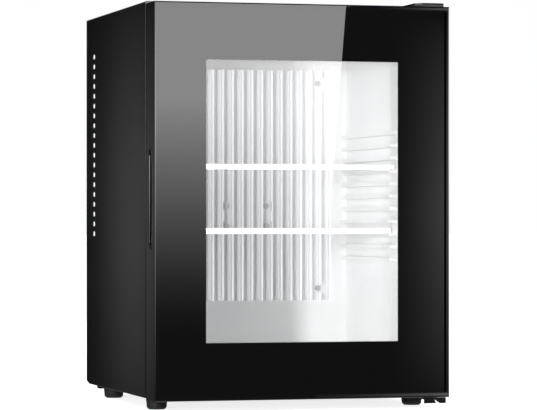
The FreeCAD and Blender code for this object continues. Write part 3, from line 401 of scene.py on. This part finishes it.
def build_materials():
    """All finishes by name."""
    made = {name: mottled(name, **look) for name, look in MOTTLED.items()}
    made["plate"] = grooved("plate", PLATE_DARK, PLATE_LIGHT, PLATE_FRONT_HIGHLIGHT, PLATE_ROUGH)
    for name, look in TINTED.items():
        made[name] = tinted(name, **look)
    for name, tint in GLASS.items():
        made[name] = glass(name, tint)
    return made


def finish_nodes(materials):
    """Give every construction node its finish."""
    for name, obj in nodes.items():
        obj.data.materials.clear()
        obj.data.materials.append(materials[FINISH[name]])


def mesh_object(name, bm):
    """Linked object from a bmesh, with its faces turned outwards."""
    mesh = bpy.data.meshes.new(name)
    bmesh.ops.recalc_face_normals(bm, faces=bm.faces)
    bm.to_mesh(mesh)
    bm.free()
    obj = bpy.data.objects.new(name, mesh)
    bpy.context.collection.objects.link(obj)
    return obj


def loop_piece(name, outer, inner, w0, w1, closed=True, sideways=False):
    """Band between two runs of (x, z) corners from depth w0 to w1. Sideways, the runs are (y, z)."""
    bm = bmesh.new()
    front_out, front_in, back_out, back_in = [
        [bm.verts.new((w, u, z) if sideways else (u, w, z)) for u, z in run]
        for w in (w0, w1) for run in (outer, inner)]
    count = len(outer)
    for i in range(count if closed else count - 1):
        j = (i + 1) % count
        bm.faces.new((front_out[i], front_out[j], front_in[j], front_in[i]))
        bm.faces.new((back_out[j], back_out[i], back_in[i], back_in[j]))
        bm.faces.new((front_out[j], front_out[i], back_out[i], back_out[j]))
        bm.faces.new((front_in[i], front_in[j], back_in[j], back_in[i]))
    if not closed:
        for i in (0, count - 1):
            bm.faces.new((front_out[i], front_in[i], back_in[i], back_out[i]))
    return mesh_object(name, bm)


def loop_tube(name, run, x, radius, sides):
    """Round bead along a closed run of (y, z) corners in the plane at x."""
    bm = bmesh.new()
    count = len(run)
    rings = []
    for i, (y, z) in enumerate(run):
        before, after = Vector(run[i - 1]), Vector(run[(i + 1) % count])
        here = Vector((y, z))
        along = ((here - before).normalized() + (after - here).normalized()).normalized()
        across = Vector((-along.y, along.x))
        turns = [2 * math.pi * k / sides for k in range(sides)]
        rings.append([bm.verts.new((x + radius * math.sin(t), y + radius * math.cos(t) * across.x,
                                    z + radius * math.cos(t) * across.y)) for t in turns])
    for i in range(count):
        for k in range(sides):
            j, m = (i + 1) % count, (k + 1) % sides
            bm.faces.new((rings[i][k], rings[i][m], rings[j][m], rings[j][k])).smooth = True
    return mesh_object(name, bm)


def rectangle(left, right, low, high):
    """Corners of a rectangle as (x, z)."""
    return [(left, low), (right, low), (right, high), (left, high)]


def around(box, grow):
    """Corners of a box's front, grown all round."""
    low, high = box
    return rectangle(low.x - grow, high.x + grow, low.z - grow, high.z + grow)


def grip_outline(inset):
    """Outline of the finger recess as (y, z): straight behind, bowed in front."""
    low, high = GRIP_LOW + inset, GRIP_HIGH - inset
    top, bottom = high - GRIP_SLANT, low + GRIP_SLANT
    run = [(GRIP_REAR - inset, z) for z in (top, top - GRIP_CORNER, bottom + GRIP_CORNER, bottom)]
    for i in range(GRIP_STEPS + 1):
        t = i / GRIP_STEPS
        bulge = 1.0 - (2.0 * t - 1.0) ** 2
        run.append((GRIP_END + inset + (GRIP_BOW - GRIP_END) * bulge, low + (high - low) * t))
    return run


def add_piece(obj, material, body):
    """Finish a piece and let it move with its body."""
    obj.data.materials.append(material)
    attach(obj, body)


def border_print(materials):
    """Glossy black film fused to the front pane round the clear window, and over the pane's rim."""
    pane = low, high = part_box("door_glass")
    front = low.y - PRINT_PROUD
    back = front + PRINT_DEPTH
    edge = around(pane, RIM_COVER)
    window = rectangle(WINDOW_LEFT, WINDOW_RIGHT, WINDOW_LOW, WINDOW_HIGH)
    film = loop_piece("border_print", edge, window, front, back)
    add_piece(film, materials["print_black"], "door")
    rim = loop_piece("pane_rim", edge, around(pane, -RIM_WIDTH), back, high.y)
    add_piece(rim, materials["print_black"], "door")


def groove_fillers(materials):
    """Glossy bead along the free edges of the pane and the dull seal at the bottom of its groove."""
    pane = low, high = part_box("door_glass")
    frame_low, frame_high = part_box("door_frame")
    lip = LIP_WIDTH + BEAD_GAP
    left, right = frame_low.x + lip, frame_high.x - lip
    bottom, top = frame_low.z + lip, frame_high.z - lip
    gap = RIM_COVER + BEAD_GAP
    near, under, over = low.x - gap, low.z - gap, high.z + gap
    bead = loop_piece("pane_bead", [(right, bottom), (left, bottom), (left, top), (right, top)],
                      [(right, under), (near, under), (near, over), (right, over)],
                      low.y - PRINT_PROUD, low.y + BEAD_DEPTH, closed=False)
    add_piece(bead, materials["gloss_black"], "door")
    seal = loop_piece("pane_seal", rectangle(left, right, bottom, top), around(pane, gap),
                      high.y - SEAL_DEPTH, high.y)
    add_piece(seal, materials["seal_black"], "door")


def grip_pieces(materials):
    """Rounded rim and satin lining of the finger recess."""
    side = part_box("door_frame")[0].x
    rim = loop_tube("grip_rim", grip_outline(GRIP_RIM), side + GRIP_RIM + BEAD_GAP, GRIP_RIM,
                    GRIP_RIM_SIDES)
    add_piece(rim, materials["gloss_black"], "door")
    lining = loop_piece("grip_lining", grip_outline(BEAD_GAP), grip_outline(BEAD_GAP + GRIP_LINING),
                        side + 2 * GRIP_RIM, side + GRIP_DEPTH, sideways=True)
    add_piece(lining, materials["grip_satin"], "door")


def hinge_spacer(materials):
    """Spacer that the top hinge plate has under it, over the door's top."""
    plate_low, plate_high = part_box("top_hinge_plate")
    door_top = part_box("door_frame")[1].z
    x0, x1 = plate_low.x + SPACER_INSET, plate_high.x - SPACER_INSET
    y0, y1 = plate_low.y + SPACER_INSET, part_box("cabinet_shell")[0].y - SPACER_INSET
    bevel, corner = SPACER_BEVEL, SPACER_CORNER
    run = [(x0 + bevel, y0), (x1 - corner, y0), (x1, y0 + corner), (x1, y1), (x0, y1), (x0, y0 + bevel)]
    levels = (door_top + SPACER_CLEAR, plate_low.z)
    bm = bmesh.new()
    low, high = [[bm.verts.new((x, y, z)) for x, y in run] for z in levels]
    bm.faces.new(low)
    bm.faces.new(high)
    for i in range(len(run)):
        j = (i + 1) % len(run)
        bm.faces.new((low[i], low[j], high[j], high[i]))
    add_piece(mesh_object("hinge_spacer", bm), materials["black_plastic"], "cabinet")


def area_light(name, place, target, size, energy):
    """Soft rectangular lamp aimed at a point. It lights the object and isn't seen or mirrored itself."""
    data = bpy.data.lights.new(name, "AREA")
    data.shape = "RECTANGLE"
    data.size, data.size_y = size
    data.energy = energy
    obj = bpy.data.objects.new(name, data)
    obj.location = place
    direction = Vector(target) - Vector(place)
    obj.rotation_euler = direction.to_track_quat("-Z", "Y").to_euler()
    obj.visible_camera = False
    obj.visible_glossy = False
    obj.visible_transmission = False
    bpy.context.collection.objects.link(obj)
    return obj


def after_diffuse(tree, path):
    """1 for a ray that has met a matt surface, so that it lights the object and isn't seen."""
    return maths(tree, "GREATER_THAN", path.outputs["Diffuse Depth"], 0.5)


def build_world():
    """Even soft light, with white for what the camera, gloss and glass see."""
    world = bpy.data.worlds.new("studio")
    bpy.context.scene.world = world
    world.use_nodes = True
    world.cycles.sampling_method = "NONE"
    tree = world.node_tree
    tree.nodes.clear()
    output = tree.nodes.new("ShaderNodeOutputWorld")
    path = tree.nodes.new("ShaderNodeLightPath")
    seen = path.outputs["Is Camera Ray"]
    for kind in ("Is Transmission Ray", "Is Glossy Ray"):
        seen = maths(tree, "MAXIMUM", seen, path.outputs[kind])
    seen = maths(tree, "SUBTRACT", seen, after_diffuse(tree, path))
    white = tree.nodes.new("ShaderNodeBackground")
    white.inputs["Color"].default_value = WHITE
    soft = tree.nodes.new("ShaderNodeBackground")
    soft.inputs["Color"].default_value = WORLD_SOFT
    mix = tree.nodes.new("ShaderNodeMixShader")
    tree.links.new(seen, mix.inputs["Fac"])
    tree.links.new(soft.outputs[0], mix.inputs[1])
    tree.links.new(white.outputs[0], mix.inputs[2])
    tree.links.new(mix.outputs[0], output.inputs["Surface"])


def facing(y, x0, x1, z0, z1):
    """Corners of an upright rectangle at y."""
    return [(x0, y, z0), (x1, y, z0), (x1, y, z1), (x0, y, z1)]


def beside(x, y0, y1, z0, z1):
    """Corners of an upright rectangle at x."""
    return [(x, y0, z0), (x, y1, z0), (x, y1, z1), (x, y0, z1)]


def overhead(z, x0, x1, y0, y1):
    """Corners of a level rectangle at z."""
    return [(x0, y0, z), (x1, y0, z), (x1, y1, z), (x0, y1, z)]


def four_corners(name, points):
    """Linked object of one face."""
    mesh = bpy.data.meshes.new(name)
    mesh.from_pydata(points, [], [(0, 1, 2, 3)])
    obj = bpy.data.objects.new(name, mesh)
    bpy.context.collection.objects.link(obj)
    return obj


def build_floor():
    """Pale floor that keeps the object's shadow."""
    floor = four_corners("floor", overhead(0.0, -FLOOR_REACH, FLOOR_REACH, -FLOOR_REACH, FLOOR_REACH))
    mat, tree, shader = new_material("floor")
    set_inputs(shader, Base_Color=FLOOR_COLOUR, Roughness=1.0, Specular_IOR_Level=0.0)
    path = tree.nodes.new("ShaderNodeLightPath")
    lift = maths(tree, "MULTIPLY", path.outputs["Is Camera Ray"], FLOOR_LIFT)
    glow = tree.nodes.new("ShaderNodeEmission")
    tree.links.new(lift, glow.inputs["Strength"])
    add = tree.nodes.new("ShaderNodeAddShader")
    tree.links.new(shader.outputs[0], add.inputs[0])
    tree.links.new(glow.outputs[0], add.inputs[1])
    tree.links.new(add.outputs[0], tree.nodes["Material Output"].inputs["Surface"])
    floor.data.materials.append(mat)
    floor.visible_glossy = False


def build_camera():
    """Camera at the photograph's place, level, with the horizon below the frame's middle."""
    data = bpy.data.cameras.new("camera")
    data.sensor_width = SENSOR
    data.lens = SENSOR * FOCAL_PX / PHOTO_WIDTH
    data.shift_y = (HORIZON_PX - PHOTO_HEIGHT / 2) / PHOTO_WIDTH
    data.clip_start, data.clip_end = CAMERA_REACH
    obj = bpy.data.objects.new("camera", data)
    obj.location = CAMERA_PLACE
    obj.rotation_euler = (math.radians(90.0), 0.0, -CAMERA_TURN)
    bpy.context.collection.objects.link(obj)
    bpy.context.scene.camera = obj


def ramped(tree, split, ramps):
    """Product of ramps over object coordinates, each (axis, dark end, bright end, power)."""
    level = 1.0
    for axis, dark, bright, power in ramps:
        ramp = tree.nodes.new("ShaderNodeMapRange")
        ramp.inputs["From Min"].default_value = dark
        ramp.inputs["From Max"].default_value = bright
        tree.links.new(split.outputs[axis], ramp.inputs["Value"])
        level = maths(tree, "MULTIPLY", level, maths(tree, "POWER", ramp.outputs[0], power))
    return level


def glow_material(name, base, peak, ramps, pale=0.0):
    """Glow from base to peak over the ramps, clear to what glass lets through, and paler far below."""
    mat = bpy.data.materials.new(name)
    mat.use_nodes = True
    tree = mat.node_tree
    tree.nodes.clear()
    output = tree.nodes.new("ShaderNodeOutputMaterial")
    coords = tree.nodes.new("ShaderNodeTexCoord")
    split = tree.nodes.new("ShaderNodeSeparateXYZ")
    tree.links.new(coords.outputs["Object"], split.inputs[0])
    glow = tree.nodes.new("ShaderNodeEmission")
    strength = remap(tree, ramped(tree, split, ramps), base, peak)
    if pale:
        lower = maths(tree, "MULTIPLY", ramped(tree, split, PALE_RAMPS), pale)
        strength = maths(tree, "ADD", strength, lower)
    tree.links.new(strength, glow.inputs["Strength"])
    mat.cycles.emission_sampling = "NONE"
    path = tree.nodes.new("ShaderNodeLightPath")
    clear = tree.nodes.new("ShaderNodeBsdfTransparent")
    mix = tree.nodes.new("ShaderNodeMixShader")
    past = maths(tree, "MAXIMUM", path.outputs["Is Transmission Ray"], after_diffuse(tree, path))
    tree.links.new(past, mix.inputs["Fac"])
    tree.links.new(glow.outputs[0], mix.inputs[1])
    tree.links.new(clear.outputs[0], mix.inputs[2])
    tree.links.new(mix.outputs[0], output.inputs["Surface"])
    return mat


def card(name, points, material):
    """Stage card that only gloss sees."""
    obj = four_corners(name, points)
    obj.data.materials.append(material)
    obj.visible_camera = False
    obj.visible_diffuse = False
    obj.visible_shadow = False
    obj.visible_transmission = False


def front_cards():
    """Sheen card that the pane mirrors, the dark flag behind it and the bands for the frame's lip."""
    right_low = SHEEN_EDGE + SHEEN_LOW * SHEEN_LEAN
    right_top = SHEEN_EDGE + SHEEN_TOP * SHEEN_LEAN
    card("sheen_card", [(SHEEN_LEFT, SHEEN_Y, SHEEN_LOW), (right_low, SHEEN_Y, SHEEN_LOW),
                        (right_top, SHEEN_Y, SHEEN_TOP), (SHEEN_LEFT, SHEEN_Y, SHEEN_TOP)],
         glow_material("sheen_card", FLAG_GLOW, SHEEN_GLOW, SHEEN_RAMPS))
    card("front_flag", facing(FLAG_Y, -FLAG_REACH, FLAG_REACH, -FLAG_REACH, FLAG_REACH),
         glow_material("front_flag", FLAG_GLOW, FRONT_GLOW, FRONT_RAMPS, FLAG_PALE))
    for name, glow, (x0, x1, x2), (z0, z1, z2), power in BANDS:
        card(name, facing(FLAG_Y + CARD_AHEAD, x0, x2, z0, z2),
             glow_material(name, FLAG_GLOW, glow, [("X", x0, x1, power), ("Z", z0, z1, 1.0)]))


def top_cards():
    """Dark flag overhead and the soft card that the top mirrors."""
    card("top_flag", overhead(TOP_FLAG_Z, -FLAG_REACH, FLAG_REACH, -FLAG_REACH, FLAG_REACH),
         glow_material("top_flag", TOP_DARK, TOP_DARK, EVEN))
    x0, x1, x2 = TOP_CARD_X
    y0, y1, y2 = TOP_CARD_Y
    ramps = [("X", x0, x1, 1.0), ("X", x2, x1, 1.0), ("Y", y0, y1, 1.0), ("Y", y2, y1, 1.0)]
    card("top_card", overhead(TOP_FLAG_Z - CARD_AHEAD, x0, x2, y0, y2),
         glow_material("top_card", TOP_DARK, TOP_GLOW, ramps))


def side_flags():
    """Flags at both sides, and a dark one further back at the left."""
    front, middle, back = SIDE_FLAG_Y
    dark = glow_material("dark_flag", SIDE_DARK, SIDE_DARK, EVEN, FLAG_PALE)
    left = glow_material("left_flag", SIDE_DARK, LEFT_SOFT, LEFT_RAMPS, FLAG_PALE)
    right = glow_material("right_flag", SIDE_DARK, RIGHT_SOFT, RIGHT_RAMPS, FLAG_PALE)
    for name, x, y0, y1, material in (("left_flag", -SIDE_FLAG_X, front, middle, left),
                                      ("far_left_flag", -SIDE_FLAG_X, middle, back, dark),
                                      ("right_flag", SIDE_FLAG_X, front, middle, right)):
        card(name, beside(x, y0, y1, -FLAG_REACH, FLAG_REACH), material)


def side_cards():
    """Strips for the rounded edges and soft cards for the glossy sides."""
    y0, y1, y2, y3 = SIDE_CARD_Y
    z0, z1, z2, z3 = SIDE_CARD_Z
    low_power, high_power = SIDE_CARD_POWERS
    soft = glow_material("side_card", SIDE_DARK, SIDE_GLOW,
                         [("Y", y3, y2, 1.0), ("Y", y0, y1, 1.0),
                          ("Z", z3, z2, high_power), ("Z", z0, z1, low_power)])
    low, full, top = EDGE_CARD_Z
    rise, fall = EDGE_POWERS
    edge_ramps = [("Z", low, full, rise), ("Z", top, full, fall)]
    for name, side in (("left", -1), ("right", 1)):
        edge = name + "_edge_card"
        card(edge, beside(side * (SIDE_FLAG_X - CARD_AHEAD), *EDGE_CARD_Y, low, top),
             glow_material(edge, SIDE_DARK, EDGE_GLOW, edge_ramps))
        card(name + "_card", beside(side * SIDE_CARD_X, y0, y3, z0, z3), soft)


def light_group(name, members):
    """Collection of objects for a lamp to light or be stopped by."""
    group = bpy.data.collections.new(name)
    for member in members:
        group.objects.link(member)
    return group


def build_lights():
    """Studio lamps and two lights inside the cabinet. The key and the strip aren't stopped by the cold
    plate, and one lamp rakes only that plate and the shelf trims. Light passes the clear panes."""
    key = area_light("key", *KEY_LAMP)
    area_light("fill", *FILL_LAMP)
    area_light("rim", *RIM_LAMP)
    strip = area_light("cabinet_strip", *STRIP_LAMP)
    strip.data.spread = STRIP_SPREAD
    foot = area_light("foot_strip", *FOOT_LAMP)
    foot.data.spread = FOOT_SPREAD
    rake = area_light("plate_rake", *RAKE_LAMP)
    plate = [nodes[name] for name in PLATE]
    trims = [nodes[name] for name in SHELF_TRIMS]
    rake.light_linking.receiver_collection = light_group("raked", plate + trims)
    rake.light_linking.blocker_collection = light_group("raking", plate)
    others = [obj for obj in bpy.data.objects if obj.type == "MESH" and obj not in plate]
    shading = light_group("shading", others)
    for lamp in (key, strip):
        lamp.light_linking.blocker_collection = shading
    for name in CLEAR_PANES:
        nodes[name].visible_shadow = False


materials = build_materials()
finish_nodes(materials)
border_print(materials)
groove_fillers(materials)
grip_pieces(materials)
hinge_spacer(materials)
build_world()
build_floor()
build_camera()
front_cards()
top_cards()
side_flags()
side_cards()
build_lights()
bpy.context.scene.view_settings.view_transform = "Standard"
